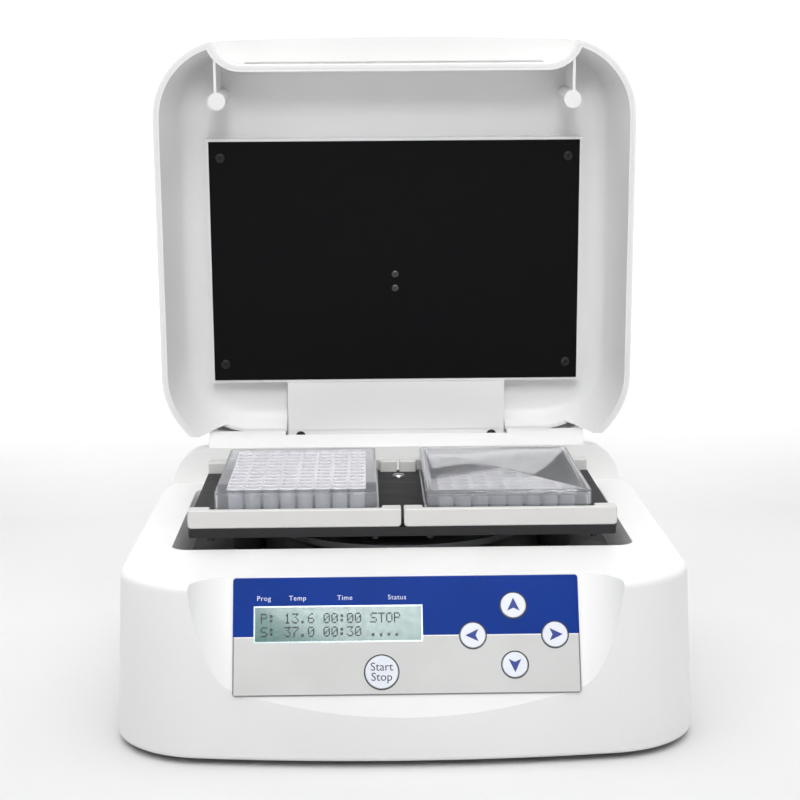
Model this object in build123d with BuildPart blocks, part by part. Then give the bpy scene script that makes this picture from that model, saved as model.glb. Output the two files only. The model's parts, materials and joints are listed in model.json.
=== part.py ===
"""Heated orbital microplate shaker: a moulded housing with a sloping control panel, a platform that
orbits on one driven eccentric and four idler cranks, and a hinged heated lid that stands open.

Millimetres. +Z is up, +X is the operator's right, -Y is the side with the control panel, and the
origin is on the table under the middle of the object as it stands with its lid open.
"""
from build123d import *
from math import cos, radians, sin, tan
import os

os.makedirs("parts", exist_ok=True)

# ---- driving dimensions -------------------------------------------------------------------------
# Housing, given at deck level
BODY_HALF = 139.3
BODY_FRONT = -146.0
BODY_BACK = 134.5
BULGE_R = 700.0
FRONT_CORNER_R = 46.0
REAR_CORNER_R = 50.0
DRAFT = 2.2
BODY_BOTTOM = 3.0
DECK_Z = 86.5
WALL = 3.0
# Recess under the platform
RECESS_HALF = 118.0
RECESS_FRONT = -65.5
RECESS_BACK = 88.0
RECESS_FLOOR = 71.5
RECESS_SLOPE = 5.0
# Sloping panel
PANEL_TILT = 23.4
PANEL_TOP = (-121.5, 86.5)
PANEL_W, PANEL_H = 164.6, 56.2
PANEL_HALF = 82.5
COVE_R = 21.5
# Rear ridge and lid hinge
RIDGE_FRONT = 106.5
RIDGE_HALF = 132.7
RIDGE_END_R = 20.0
RIDGE_TOP = 107.5
REAR_DECK_Z = 99.0
HINGE_Y, HINGE_Z = 118.0, 104.0
KNUCKLE_R = 11.5
KNUCKLE_IN, KNUCKLE_OUT = 67.0, 112.0
BARREL_R = 5.0
ARM_HALF = 66.3
PIN_R = 3.0
RUN = 0.05
# Lid, in its own closed frame measured from the hinge axis
OPEN_ANGLE = 85.3
LID_HALF = 138.0
LID_FRONT = -246.0
LID_REAR = 0.5
LID_RIM = -17.2
LID_TOP = 31.5
LID_FLOOR = 24.0
LID_CORNER_R = 45.0
LID_BULGE_R = 3000.0
SHELL_WALL = 1.8
LINER_WALL = 1.6
SCOOP_LINE = -229.7
SCOOP_HALF = 85.5
SCOOP_PEAK = 104.0
SCOOP_H = 13.0
HEATED_W, HEATED_D = 218.4, 143.3
HEATED_REAR = -40.6
HEATED_FACE = 11.9
# Platform
PLATFORM_HALF = 109.5
PLATFORM_Y = 9.0
PLATFORM_D = 141.0
BLOCK_TOP = 99.5
BLOCK_T = 3.2
PLATE_T = 4.7
BAR_D = 4.2
BAR_H = 9.4
ORBIT_R = 1.5
CARRIER_R = 68.0
IDLER_X, IDLER_Y = 80.0, 44.0
# Microplates, the standard footprint
MICRO_W, MICRO_D, MICRO_H = 85.5, 127.8, 14.35
MICRO_TOP_W, MICRO_TOP_D = 83.0, 125.2
MICRO_X = 54.6
WELL_PITCH = 9.0
WELL_R = 3.4

PLATE_BOTTOM = BLOCK_TOP - BLOCK_T - PLATE_T
BAR_BOTTOM = BLOCK_TOP - BLOCK_T
PLATFORM_FRONT = PLATFORM_Y - PLATFORM_D / 2
PLATFORM_BACK = PLATFORM_Y + PLATFORM_D / 2
CHASSIS_TOP = RECESS_FLOOR
CHASSIS_T = 2.0
MOTOR_R = 29.0
MOTOR_H = 34.0
SIDES = (("left", -1), ("right", 1))

# ---- planes -------------------------------------------------------------------------------------
TILT = radians(PANEL_TILT)
PANEL_MID = PANEL_H / 2 + 0.8
PANEL = Plane(
    origin=(0, PANEL_TOP[0] - PANEL_MID * sin(TILT), PANEL_TOP[1] - PANEL_MID * cos(TILT)),
    x_dir=(1, 0, 0),
    z_dir=(0, -cos(TILT), sin(TILT)),
)
PANEL_RUN = Plane(origin=PANEL.origin, x_dir=(1, 0, 0), z_dir=(0, sin(TILT), cos(TILT)))
OPEN = radians(OPEN_ANGLE)
LID = Plane(origin=(0, HINGE_Y, HINGE_Z), x_dir=(1, 0, 0), z_dir=(0, sin(OPEN), cos(OPEN)))
ACROSS = Plane(origin=(0, HINGE_Y, HINGE_Z), x_dir=(0, 1, 0), z_dir=(1, 0, 0))
LID_ACROSS = Plane(origin=(0, HINGE_Y, HINGE_Z), x_dir=(0, cos(OPEN), -sin(OPEN)), z_dir=(1, 0, 0))


def write(piece, name):
    """Label a finished piece and write its STEP file."""
    piece.part.label = name
    export_step(piece.part, f"parts/{name}.step")


def outline(plane, half, front, back, front_r, rear_r, bulge_r):
    """Plan with straight sides, a front bowed outward and four round corners."""
    corner = front + half**2 / (2 * bulge_r)
    with BuildSketch(plane) as plan:
        with BuildLine():
            ThreePointArc((-half, corner), (0, front), (half, corner))
            Line((half, corner), (half, back))
            Line((half, back), (-half, back))
            Line((-half, back), (-half, corner))
        make_face()
        fillet(plan.vertices().group_by(Axis.Y)[-1], rear_r)
        fillet(plan.vertices().sort_by(Axis.Y)[:2], front_r)
    return plan.sketch


def body_plan(height, inset=0.0):
    """Plan of the housing at a height, drawn in from its outside by an inset."""
    grow = (DECK_Z - height) * tan(radians(DRAFT)) - inset
    return outline(
        Plane.XY.offset(height),
        BODY_HALF + grow,
        BODY_FRONT - grow,
        BODY_BACK + grow,
        FRONT_CORNER_R + grow,
        REAR_CORNER_R + grow,
        BULGE_R,
    )


def lid_plan(height, inset=0.0):
    """Plan of the lid at a height in its closed frame, drawn in by an inset."""
    return outline(
        LID.offset(height),
        LID_HALF - inset,
        LID_FRONT + inset,
        LID_REAR - inset,
        LID_CORNER_R - inset,
        REAR_CORNER_R - inset,
        LID_BULGE_R,
    )


def panel_cut(grow=0.0):
    """Section of the space in front of the sloping panel: flat, with a cove up each side."""
    reach = 60.0
    with BuildSketch(PANEL_RUN.offset(-90)) as section:
        with BuildLine():
            half = PANEL_HALF
            side = PANEL_HALF + COVE_R + grow
            Line((-half, grow), (half, grow))
            CenterArc((half, -COVE_R), COVE_R + grow, 0, 90)
            Line((side, -COVE_R), (side, -reach))
            Line((side, -reach), (-side, -reach))
            Line((-side, -reach), (-side, -COVE_R))
            CenterArc((-half, -COVE_R), COVE_R + grow, 90, 90)
        make_face()
    return section.sketch


def scoop_plan(height, grow=0.0):
    """Plan of the finger scoop under the front of the lid."""
    line = SCOOP_LINE + grow
    reach = LID_FRONT - 20
    with BuildSketch(LID.offset(height)) as plan:
        with BuildLine():
            peak = SCOOP_PEAK + grow
            ThreePointArc((SCOOP_HALF, line), (98 + 0.5 * grow, line - 4.2), (peak, line - 16.2))
            Line((peak, line - 16.2), (peak, reach))
            Line((peak, reach), (-peak, reach))
            Line((-peak, reach), (-peak, line - 16.2))
            ThreePointArc((-peak, line - 16.2), (-98 - 0.5 * grow, line - 4.2), (-SCOOP_HALF, line))
            Line((-SCOOP_HALF, line), (SCOOP_HALF, line))
        make_face()
    return plan.sketch


# ---- housing ------------------------------------------------------------------------------------
FOOT = (Align.CENTER, Align.CENTER, Align.MIN)
HEAD = (Align.CENTER, Align.CENTER, Align.MAX)
SCREW_R = 1.5
PAN_T = 1.5
BOSS_R = 4.5
BOSS_FOOT = BODY_BOTTOM + 1 + PAN_T
CAVITY_TOP = DECK_Z - WALL
TUB_DEPTH = DECK_Z - RECESS_FLOOR
INLET_X, INLET_Z = -62.0, 34.0
SWITCH_X = -20.0
REAR_OPENING = (100.0, 36.0)
REAR_OPENING_X = -36.0
BOSS_SPOTS = [(-126, -30), (126, -30), (-126, 70), (126, 70), (-60, -103), (60, -103)]
KEYS = {
    "up": (51.1, 13.6),
    "down": (51.2, -14.6),
    "left": (31.6, -0.5),
    "right": (70.6, -0.5),
    "start": (-11.9, -17.4),
}
KEY_R = 5.9
START_R = 7.7
DISPLAY = (-32.3, 5.7)
DISPLAY_W, DISPLAY_H = 80.3, 17.6


def key_radius(name):
    """Radius of a key's round cap."""
    return START_R if name == "start" else KEY_R


def tub(grow, top, bottom):
    """Sloping walls of the recess as two matching rectangles, grown by a wall thickness."""
    for height in (top, bottom):
        narrow = RECESS_SLOPE * (DECK_Z - height) / TUB_DEPTH
        half = RECESS_HALF - narrow + grow
        front = RECESS_FRONT + narrow - grow
        back = RECESS_BACK - narrow + grow
        with BuildSketch(Plane.XY.offset(height)) as rim:
            with Locations((0, (front + back) / 2)):
                RectangleRounded(2 * half, back - front, 9 + grow)
        yield rim.sketch


with BuildPart() as cavity:
    loft([body_plan(BODY_BOTTOM - 2, WALL), body_plan(CAVITY_TOP, WALL)], ruled=True)
    extrude(panel_cut(WALL), amount=200, mode=Mode.SUBTRACT)
    loft(list(tub(2.5, DECK_Z + 1, RECESS_FLOOR)), mode=Mode.SUBTRACT)
    with Locations([(x, y, BOSS_FOOT) for x, y in BOSS_SPOTS]):
        Cylinder(BOSS_R, DECK_Z - BOSS_FOOT, align=FOOT, mode=Mode.SUBTRACT)

with BuildPart() as ridge:
    extrude(body_plan(DECK_Z), amount=RIDGE_TOP - DECK_Z)
    split(bisect_by=Plane.XZ.offset(-RIDGE_FRONT), keep=Keep.BOTTOM)
    top_rim = ridge.edges().group_by(Axis.Z)[-1].filter_by(lambda e: e.center().Y > RIDGE_FRONT + 1)
    fillet(top_rim, 9.0)
    # rounded ends
    with BuildSketch(Plane.XZ.offset(-HINGE_Y)) as ridge_face:
        with Locations((0, RIDGE_TOP)):
            Rectangle(2 * RIDGE_HALF, 60, align=(Align.CENTER, Align.MAX))
        fillet(ridge_face.vertices().group_by(Axis.Y)[-1], RIDGE_END_R)
    extrude(amount=60, both=True, mode=Mode.INTERSECT)
    with Locations((0, HINGE_Y + KNUCKLE_R, REAR_DECK_Z)):
        Box(400, 60, 40, align=(Align.CENTER, Align.MIN, Align.MIN), mode=Mode.SUBTRACT)

with BuildPart() as upper_housing:
    loft([body_plan(BODY_BOTTOM), body_plan(DECK_Z)], ruled=True)
    fillet(upper_housing.edges().group_by(Axis.Z)[-1], 4.0)
    fillet(upper_housing.edges().group_by(Axis.Z)[0], 2.0)
    extrude(panel_cut(), amount=200, mode=Mode.SUBTRACT)
    add(ridge.part)
    with BuildSketch(ACROSS.offset(-KNUCKLE_OUT)):
        Circle(KNUCKLE_R)
        with Locations((0, -KNUCKLE_R / 2)):
            Rectangle(2 * KNUCKLE_R, KNUCKLE_R)
    extrude(amount=2 * KNUCKLE_OUT)
    add(cavity.part, mode=Mode.SUBTRACT)
    loft(list(tub(0, DECK_Z + 1, RECESS_FLOOR - 0.5)), mode=Mode.SUBTRACT)
    # hollow of the ridge
    with Locations((0, RIDGE_FRONT + 3, DECK_Z - 12)):
        Box(216, 22, 20, align=(Align.CENTER, Align.MIN, Align.MIN), mode=Mode.SUBTRACT)
    # trough for the lid's hinge arm, open upward and backward
    with BuildSketch(ACROSS.offset(-KNUCKLE_IN + 0.3)):
        Circle(BARREL_R + 0.6)
        with Locations((0, 20)):
            Rectangle(2 * BARREL_R + 1.2, 40)
        with Locations((25, 15)):
            Rectangle(50, 40)
    extrude(amount=2 * KNUCKLE_IN - 0.6, mode=Mode.SUBTRACT)
    # bores for the hinge bushes
    with BuildSketch(ACROSS.offset(-KNUCKLE_IN - 20)):
        Circle(PIN_R + 1.5)
    extrude(amount=2 * KNUCKLE_IN + 40, mode=Mode.SUBTRACT)
    # key holes and display window
    for name, spot in KEYS.items():
        with BuildSketch(PANEL.offset(-5)):
            with Locations(spot):
                Circle(key_radius(name) - 1.2)
        extrude(amount=10, mode=Mode.SUBTRACT)
    with BuildSketch(PANEL.offset(-5)):
        with Locations(DISPLAY):
            Rectangle(DISPLAY_W - 4, DISPLAY_H - 4)
    extrude(amount=10, mode=Mode.SUBTRACT)
    # rear opening for the inlet plate
    with Locations((REAR_OPENING_X, BODY_BACK, INLET_Z)):
        Box(REAR_OPENING[0], 20, REAR_OPENING[1], mode=Mode.SUBTRACT)
    # pilot holes for the base screws
    with Locations([(x, y, BOSS_FOOT) for x, y in BOSS_SPOTS]):
        Cylinder(SCREW_R, 18, align=FOOT, mode=Mode.SUBTRACT)
write(upper_housing, "upper_housing")


def screws(name, spots, head_r, head_h, shank_r, shank_l, plane=Plane.XY, up=1, dome=0.0):
    """A group of like screws, heads standing off a plane on its upper or lower side."""
    with BuildPart() as group:
        with BuildSketch(plane) as heads:
            with Locations(spots):
                Circle(head_r)
        extrude(amount=up * head_h)
        if dome:
            fillet(group.edges().group_by(Axis(plane.origin, plane.z_dir * up))[-1], dome)
        with BuildSketch(plane.offset(up * head_h)) as slots:
            with Locations(spots):
                RegularPolygon(head_r * 0.45, 6)
        extrude(amount=-up * head_h * 0.6, mode=Mode.SUBTRACT)
        with BuildSketch(plane) as shanks:
            with Locations(spots):
                Circle(shank_r)
        extrude(amount=-up * shank_l)
    write(group, name)


# ---- base: pan, feet, chassis -------------------------------------------------------------------
FOOT_SPOTS = [(-112, -105), (112, -105), (-112, 98), (112, 98)]
STANDOFFS = [(-100, -50), (100, -50), (-100, 70), (100, 70)]
IDLERS = [
    (-IDLER_X, PLATFORM_Y - IDLER_Y),
    (IDLER_X, PLATFORM_Y - IDLER_Y),
    (-IDLER_X, PLATFORM_Y + IDLER_Y),
    (IDLER_X, PLATFORM_Y + IDLER_Y),
]
BEARING_R = 8.0
SHAFT_R = 4.0
MOTOR_SCREWS = 22.0
CHASSIS_BOTTOM = CHASSIS_TOP - CHASSIS_T
PAN_TOP = BODY_BOTTOM + 1 + PAN_T
DRIVE_X = -ORBIT_R
LOWER_PINS = [(x - ORBIT_R, y) for x, y in IDLERS]
MOTOR_NOSE_R = 12.0
SHAFT_DEPTH = 26.0
HUB_Z, HUB_T, HUB_R = 74.2, 5.0, 14.0
PIN_DRIVE_R = 5.0
PLATFORM_BEARING_R = 13.0
IDLER_PIN_R = 3.0
CRANK_Z = 74.2
CARRIER_Z, CARRIER_T = 82.0, 4.0
FILM_T = 0.6
REAR_BAR_D = 5.0
BAR_GAP = 0.7
LUG_D = 6.0

with BuildPart() as base_pan:
    extrude(body_plan(BODY_BOTTOM + 1, WALL + 0.6), amount=PAN_T)
    with Locations([(x, y, BODY_BOTTOM) for x, y in BOSS_SPOTS]):
        Cylinder(SCREW_R + 0.3, 10, align=FOOT, mode=Mode.SUBTRACT)
    with Locations([(x, y, BODY_BOTTOM) for x, y in FOOT_SPOTS]):
        Cylinder(SCREW_R + 0.3, 10, align=FOOT, mode=Mode.SUBTRACT)
    with Locations([(x, y, BODY_BOTTOM) for x, y in STANDOFFS]):
        Cylinder(SCREW_R + 0.3, 10, align=FOOT, mode=Mode.SUBTRACT)
    # cooling slots under the motor and the supply
    with BuildSketch(Plane.XY.offset(BODY_BOTTOM)):
        with GridLocations(8, 46, 9, 2):
            SlotOverall(34, 3, rotation=90)
    extrude(amount=10, mode=Mode.SUBTRACT)
write(base_pan, "base_pan")

with BuildPart() as rubber_feet:
    with Locations([(x, y, 0) for x, y in FOOT_SPOTS]):
        Cone(8.0, 9.5, BODY_BOTTOM + 1, align=FOOT)
        Cylinder(4.0, 2.0, align=FOOT, mode=Mode.SUBTRACT)
    with Locations([(x, y, 0) for x, y in FOOT_SPOTS]):
        Cylinder(SCREW_R, 10, align=FOOT, mode=Mode.SUBTRACT)
write(rubber_feet, "rubber_feet")

# heads sit inside the feet, below the pan
screws("foot_screws", FOOT_SPOTS, 3.4, 1.0, SCREW_R, 6.0, Plane.XY.offset(2.0), up=-1)
screws("base_screws", BOSS_SPOTS, 2.6, 0.9, SCREW_R, 12.0, Plane.XY.offset(BODY_BOTTOM + 1), up=-1)
screws("chassis_screws", STANDOFFS, 3.0, 1.6, SCREW_R, 8.0, Plane.XY.offset(CHASSIS_TOP))

with BuildPart() as chassis_plate:
    with BuildSketch(Plane.XY.offset(CHASSIS_BOTTOM)):
        with Locations((0, (RECESS_FRONT + RECESS_BACK) / 2)):
            RectangleRounded(239, RECESS_BACK - RECESS_FRONT + 8, 10)
        with Locations((DRIVE_X, PLATFORM_Y)):
            Circle(MOTOR_NOSE_R, mode=Mode.SUBTRACT)
            with PolarLocations(MOTOR_SCREWS, 4, 45):
                Circle(SCREW_R, mode=Mode.SUBTRACT)
        with Locations(LOWER_PINS):
            Circle(BEARING_R, mode=Mode.SUBTRACT)
        with Locations(STANDOFFS):
            Circle(SCREW_R, mode=Mode.SUBTRACT)
    extrude(amount=CHASSIS_T)
write(chassis_plate, "chassis_plate")

with BuildPart() as chassis_standoffs:
    with BuildSketch(Plane.XY.offset(PAN_TOP)):
        with Locations(STANDOFFS):
            RegularPolygon(5.5, 6)
            Circle(SCREW_R, mode=Mode.SUBTRACT)
    extrude(amount=CHASSIS_BOTTOM - PAN_TOP)
write(chassis_standoffs, "chassis_standoffs")

# ---- drive: motor, eccentric shaft, counterweight -----------------------------------------------
with BuildPart() as motor_body:
    with Locations((DRIVE_X, PLATFORM_Y, CHASSIS_BOTTOM)):
        Cylinder(MOTOR_R, MOTOR_H, align=HEAD)
        Cylinder(MOTOR_NOSE_R, 4.0, align=FOOT)
    fillet(motor_body.edges().group_by(Axis.Z)[0], 3.0)
    # cooling fins round the barrel
    with BuildSketch(Plane.XY.offset(CHASSIS_BOTTOM - 8)):
        with Locations((DRIVE_X, PLATFORM_Y)):
            with PolarLocations(MOTOR_R, 24):
                Rectangle(2.4, 3.0)
    extrude(amount=-20, mode=Mode.SUBTRACT)
    with Locations((DRIVE_X, PLATFORM_Y, CHASSIS_BOTTOM + 4)):
        Cylinder(SHAFT_R + RUN, SHAFT_DEPTH, align=HEAD, mode=Mode.SUBTRACT)
    with BuildSketch(Plane.XY.offset(CHASSIS_BOTTOM)):
        with Locations((DRIVE_X, PLATFORM_Y)):
            with PolarLocations(MOTOR_SCREWS, 4, 45):
                Circle(SCREW_R)
    extrude(amount=-7, mode=Mode.SUBTRACT)
write(motor_body, "motor_body")

motor_spots = [
    (DRIVE_X + MOTOR_SCREWS * cos(radians(a)), PLATFORM_Y + MOTOR_SCREWS * sin(radians(a)))
    for a in (45, 135, 225, 315)
]
screws("motor_screws", motor_spots, 2.8, 1.8, SCREW_R, 8.0, Plane.XY.offset(CHASSIS_TOP))

with BuildPart() as eccentric_shaft:
    with Locations((DRIVE_X, PLATFORM_Y, HUB_Z)):
        Cylinder(SHAFT_R, SHAFT_DEPTH - 2, align=HEAD)
        Cylinder(HUB_R, HUB_T, align=FOOT)
    with Locations((0, PLATFORM_Y, HUB_Z + HUB_T)):
        Cylinder(PIN_DRIVE_R, 10.5, align=FOOT)
    chamfer(eccentric_shaft.edges().group_by(Axis.Z)[-1], 0.6)
write(eccentric_shaft, "eccentric_shaft")

with BuildPart() as counterweight:
    with BuildSketch(Plane.XY.offset(HUB_Z)):
        with Locations((DRIVE_X, PLATFORM_Y)):
            Circle(34)
        with Locations((DRIVE_X, PLATFORM_Y)):
            Rectangle(80, 80, align=(Align.MIN, Align.CENTER), mode=Mode.SUBTRACT)
        with Locations((DRIVE_X, PLATFORM_Y)):
            Circle(HUB_R, mode=Mode.SUBTRACT)
    extrude(amount=HUB_T)
write(counterweight, "counterweight")

with BuildPart() as idler_bearings:
    with Locations([(x, y, CHASSIS_BOTTOM - 3.5) for x, y in LOWER_PINS]):
        Cylinder(BEARING_R, 7.0, align=FOOT)
        Cylinder(IDLER_PIN_R + RUN, 7.0, align=FOOT, mode=Mode.SUBTRACT)
write(idler_bearings, "idler_bearings")

for number, (x, y) in enumerate(IDLERS, start=1):
    with BuildPart() as idler_crank:
        with Locations((x - ORBIT_R, y, CRANK_Z)):
            Cylinder(IDLER_PIN_R, 8.0, align=HEAD)
            Cylinder(7.5, 4.0, align=FOOT)
        with Locations((x, y, CRANK_Z + 4.0)):
            Cylinder(IDLER_PIN_R, 10.5, align=FOOT)
        chamfer(idler_crank.edges().group_by(Axis.Z)[-1], 0.4)
    write(idler_crank, f"idler_crank_{number}")

# ---- platform -----------------------------------------------------------------------------------
with BuildPart() as carrier_disc:
    with Locations((0, PLATFORM_Y, CARRIER_Z)):
        Cylinder(CARRIER_R, CARRIER_T, align=FOOT)
        Cylinder(17.0, 8.0, align=FOOT)
        with PolarLocations(50, 4, 45):
            Cylinder(6.0, PLATE_BOTTOM - CARRIER_Z, align=FOOT)
        Cylinder(PLATFORM_BEARING_R, 20, align=(Align.CENTER,) * 3, mode=Mode.SUBTRACT)
        with PolarLocations(50, 4, 45):
            Cylinder(SCREW_R, 40, align=(Align.CENTER,) * 3, mode=Mode.SUBTRACT)
    chamfer(carrier_disc.edges().group_by(Axis.Z)[0].sort_by(SortBy.LENGTH)[-1], 0.8)
write(carrier_disc, "carrier_disc")

carrier_spots = [
    (50 * cos(radians(a)), PLATFORM_Y + 50 * sin(radians(a))) for a in (45, 135, 225, 315)
]
screws("carrier_screws", carrier_spots, 2.8, 1.8, SCREW_R, 12.0, Plane.XY.offset(CARRIER_Z), up=-1)

with BuildPart() as platform_bearing:
    with Locations((0, PLATFORM_Y, CARRIER_Z)):
        Cylinder(PLATFORM_BEARING_R, 8.0, align=FOOT)
        Cylinder(PIN_DRIVE_R + RUN, 8.0, align=FOOT, mode=Mode.SUBTRACT)
    with BuildSketch(Plane.XY.offset(CARRIER_Z + 8.0)):
        with Locations((0, PLATFORM_Y)):
            Circle(10.4)
            Circle(7.4, mode=Mode.SUBTRACT)
    extrude(amount=-0.8, mode=Mode.SUBTRACT)
write(platform_bearing, "platform_bearing")

with BuildPart() as idler_cups:
    with Locations([(x, y, PLATE_BOTTOM) for x, y in IDLERS]):
        Cylinder(9.0, 10.6, align=HEAD)
    with Locations([(x, y, PLATE_BOTTOM - 1.6) for x, y in IDLERS]):
        Cylinder(IDLER_PIN_R + RUN, 10, align=HEAD, mode=Mode.SUBTRACT)
write(idler_cups, "idler_cups")

BAR_SCREWS = [
    (x, y) for x in (-98, -14, 14, 98) for y in (PLATFORM_FRONT + 2.1, PLATFORM_BACK - 2.5)
]
PLATE_SCREW = (0, 52.9)

with BuildPart() as platform_plate:
    with BuildSketch(Plane.XY.offset(PLATE_BOTTOM)):
        with Locations((0, PLATFORM_Y)):
            RectangleRounded(2 * PLATFORM_HALF, PLATFORM_D, 3)
        with Locations(BAR_SCREWS):
            Circle(1.2, mode=Mode.SUBTRACT)
        with Locations(PLATE_SCREW):
            Circle(SCREW_R, mode=Mode.SUBTRACT)
    extrude(amount=PLATE_T)
    with BuildSketch(Plane.XY.offset(BAR_BOTTOM)):
        with Locations((0, PLATFORM_Y)):
            Rectangle(200, 120)
    extrude(amount=-FILM_T, mode=Mode.SUBTRACT)
    with Locations([(x, y, PLATE_BOTTOM) for x, y in carrier_spots]):
        Cylinder(SCREW_R, PLATE_BOTTOM - CARRIER_Z, align=(Align.CENTER,) * 3, mode=Mode.SUBTRACT)
write(platform_plate, "platform_plate")

with BuildPart() as heater_film:
    with BuildSketch(Plane.XY.offset(BAR_BOTTOM - FILM_T)):
        with Locations((0, PLATFORM_Y)):
            Rectangle(199.4, 119.4)
        with Locations(PLATE_SCREW):
            Circle(SCREW_R + 2, mode=Mode.SUBTRACT)
        with Locations(carrier_spots):
            Circle(SCREW_R + 1, mode=Mode.SUBTRACT)
    extrude(amount=FILM_T)
write(heater_film, "heater_film")

with BuildPart() as heater_plate:
    with BuildSketch(Plane.XY.offset(BAR_BOTTOM)):
        with Locations((0, (PLATFORM_FRONT + BAR_D + PLATFORM_BACK - REAR_BAR_D) / 2)):
            Rectangle(2 * PLATFORM_HALF, PLATFORM_D - BAR_D - REAR_BAR_D)
        with Locations(PLATE_SCREW):
            Circle(SCREW_R, mode=Mode.SUBTRACT)
    extrude(amount=BLOCK_T)
write(heater_plate, "heater_plate")

screws("plate_screw", [PLATE_SCREW], 3.6, 1.9, SCREW_R, 7.0, Plane.XY.offset(BLOCK_TOP), dome=1.2)
screws("bar_screws", BAR_SCREWS, 2.0, 1.4, 1.2, PLATE_T + 5, Plane.XY.offset(PLATE_BOTTOM), up=-1)

for side, sign in SIDES:
    for end, face, depth, inward in (
        ("front", PLATFORM_FRONT, BAR_D, 1),
        ("rear", PLATFORM_BACK, REAR_BAR_D, -1),
    ):
        with BuildPart() as bar:
            mid = sign * (PLATFORM_HALF + BAR_GAP) / 2
            with Locations((mid, face + inward * depth / 2, BAR_BOTTOM)):
                Box(PLATFORM_HALF - BAR_GAP, depth, BAR_H, align=FOOT)
            for lug_x, lug_w in ((PLATFORM_HALF - 5.4, 10.8), (BAR_GAP + 4.9, 9.8)):
                with Locations((sign * lug_x, face + inward * (depth + LUG_D / 2), BLOCK_TOP)):
                    Box(lug_w, LUG_D, BAR_BOTTOM + BAR_H - BLOCK_TOP, align=FOOT)
            fillet(bar.edges().filter_by(Axis.Y).group_by(Axis.Z)[0], 2.0)
            fillet(bar.edges().filter_by(Axis.Z), 0.9)
            fillet(bar.edges().group_by(Axis.Z)[-1], 0.7)
            with Locations([(x, y, BAR_BOTTOM) for x, y in BAR_SCREWS]):
                Cylinder(1.2, 5.0, align=FOOT, mode=Mode.SUBTRACT)
        write(bar, f"{end}_bar_{side}")

# ---- lid ----------------------------------------------------------------------------------------
LID_LEAN = 5.0
LINER_LEAN = 10.0
LINER_INSET = SHELL_WALL + 0.1
NOTCH_Y, NOTCH_Z = -13.0, 12.5
SLOT_Z = 17.8
HEATED_Y = HEATED_REAR - HEATED_D / 2
HEATED_T = 2.6
POST_X, POST_Y = 101.5, -209.6
ARM_TOP = LID_FLOOR - 0.2
ARM_FRONT = -38.9
PIN_IN, PIN_OUT = 50.0, 86.5
ARM_SCREWS = [(-58.0, 0), (58.0, 0)]
ARM_SCREW_Y = -5.6
ARM_HEAD_IN = 1.8
LID_UP = Axis(LID.origin, LID.z_dir)


def lid_block(inset, top, lean, round_r):
    """Closed-topped block of the lid's outline, leaning in as it rises."""
    with BuildPart() as block:
        loft([lid_plan(LID_RIM, inset), lid_plan(top, inset + lean)], ruled=True)
        fillet(block.edges().group_by(LID_UP)[-1], round_r)
        with Locations(LID):
            with Locations((0, NOTCH_Y, NOTCH_Z)):
                Box(400, 80, 80, align=(Align.CENTER, Align.MIN, Align.MAX), mode=Mode.SUBTRACT)
    return block.part


with BuildPart() as lid_shell:
    add(lid_block(0, LID_TOP, LID_LEAN, 16.0))
    extrude(scoop_plan(LID_RIM - 1), amount=SCOOP_H + 1, mode=Mode.SUBTRACT)
    with BuildPart(mode=Mode.PRIVATE) as shell_hollow:
        add(lid_block(SHELL_WALL, LID_TOP - SHELL_WALL, LID_LEAN, 14.5))
        extrude(scoop_plan(LID_RIM - 1, SHELL_WALL), amount=SCOOP_H + 1 + SHELL_WALL, mode=Mode.SUBTRACT)
    add(shell_hollow.part, mode=Mode.SUBTRACT)
    # shadow groove between the scoop's wall and its roof
    with Locations(LID):
        with Locations((0, SCOOP_LINE, LID_RIM + SCOOP_H)):
            Box(2 * SCOOP_HALF, 1.2, 1.2, align=(Align.CENTER, Align.MAX, Align.MIN), mode=Mode.SUBTRACT)
    # slot for the hinge arm
    with Locations(LID):
        with Locations((0, NOTCH_Y, SLOT_Z)):
            Box(2 * ARM_HALF, 40, 40, align=(Align.CENTER, Align.MIN, Align.MAX), mode=Mode.SUBTRACT)
write(lid_shell, "lid_shell")

with BuildPart() as liner_block:
    add(lid_block(LINER_INSET, LID_FLOOR + LINER_WALL, LINER_LEAN, 12.0))
    extrude(scoop_plan(LID_RIM - 1, LINER_INSET), amount=80, mode=Mode.SUBTRACT)

with BuildPart() as liner_hollow:
    add(lid_block(LINER_INSET + LINER_WALL, LID_FLOOR, LINER_LEAN, 10.5))
    extrude(scoop_plan(LID_RIM - 1, LINER_INSET + LINER_WALL), amount=80, mode=Mode.SUBTRACT)

with BuildPart() as liner_posts:
    for side, sign in SIDES:
        with Locations(LID):
            with Locations((sign * POST_X, POST_Y, LID_RIM + 0.7)):
                Cylinder(5.0, LID_FLOOR - LID_RIM, align=FOOT)
            with Locations((sign * (POST_X + 0.6), POST_Y, LID_RIM + 0.7)):
                Box(1.5, 40, LID_FLOOR - LID_RIM, align=(Align.CENTER, Align.MAX, Align.MIN))
    add(liner_block.part, mode=Mode.INTERSECT)

with BuildPart() as lid_liner:
    add(liner_block.part)
    add(liner_hollow.part, mode=Mode.SUBTRACT)
    add(liner_posts.part)
    # gap for the hinge arm
    with Locations(LID):
        with Locations((0, ARM_FRONT - 0.1, LID_RIM)):
            Box(2 * ARM_HALF, 80, 80, align=(Align.CENTER, Align.MIN, Align.MIN), mode=Mode.SUBTRACT)
write(lid_liner, "lid_liner")

HEATED_SCREWS = [(x, HEATED_Y + y) for x in (-102.5, 102.5) for y in (-62.0, 62.0)]
SENSOR_SCREWS = [(0, HEATED_Y + 7.5), (0, HEATED_Y + 16.0)]
LID_FACE = LID.offset(HEATED_FACE)

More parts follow.
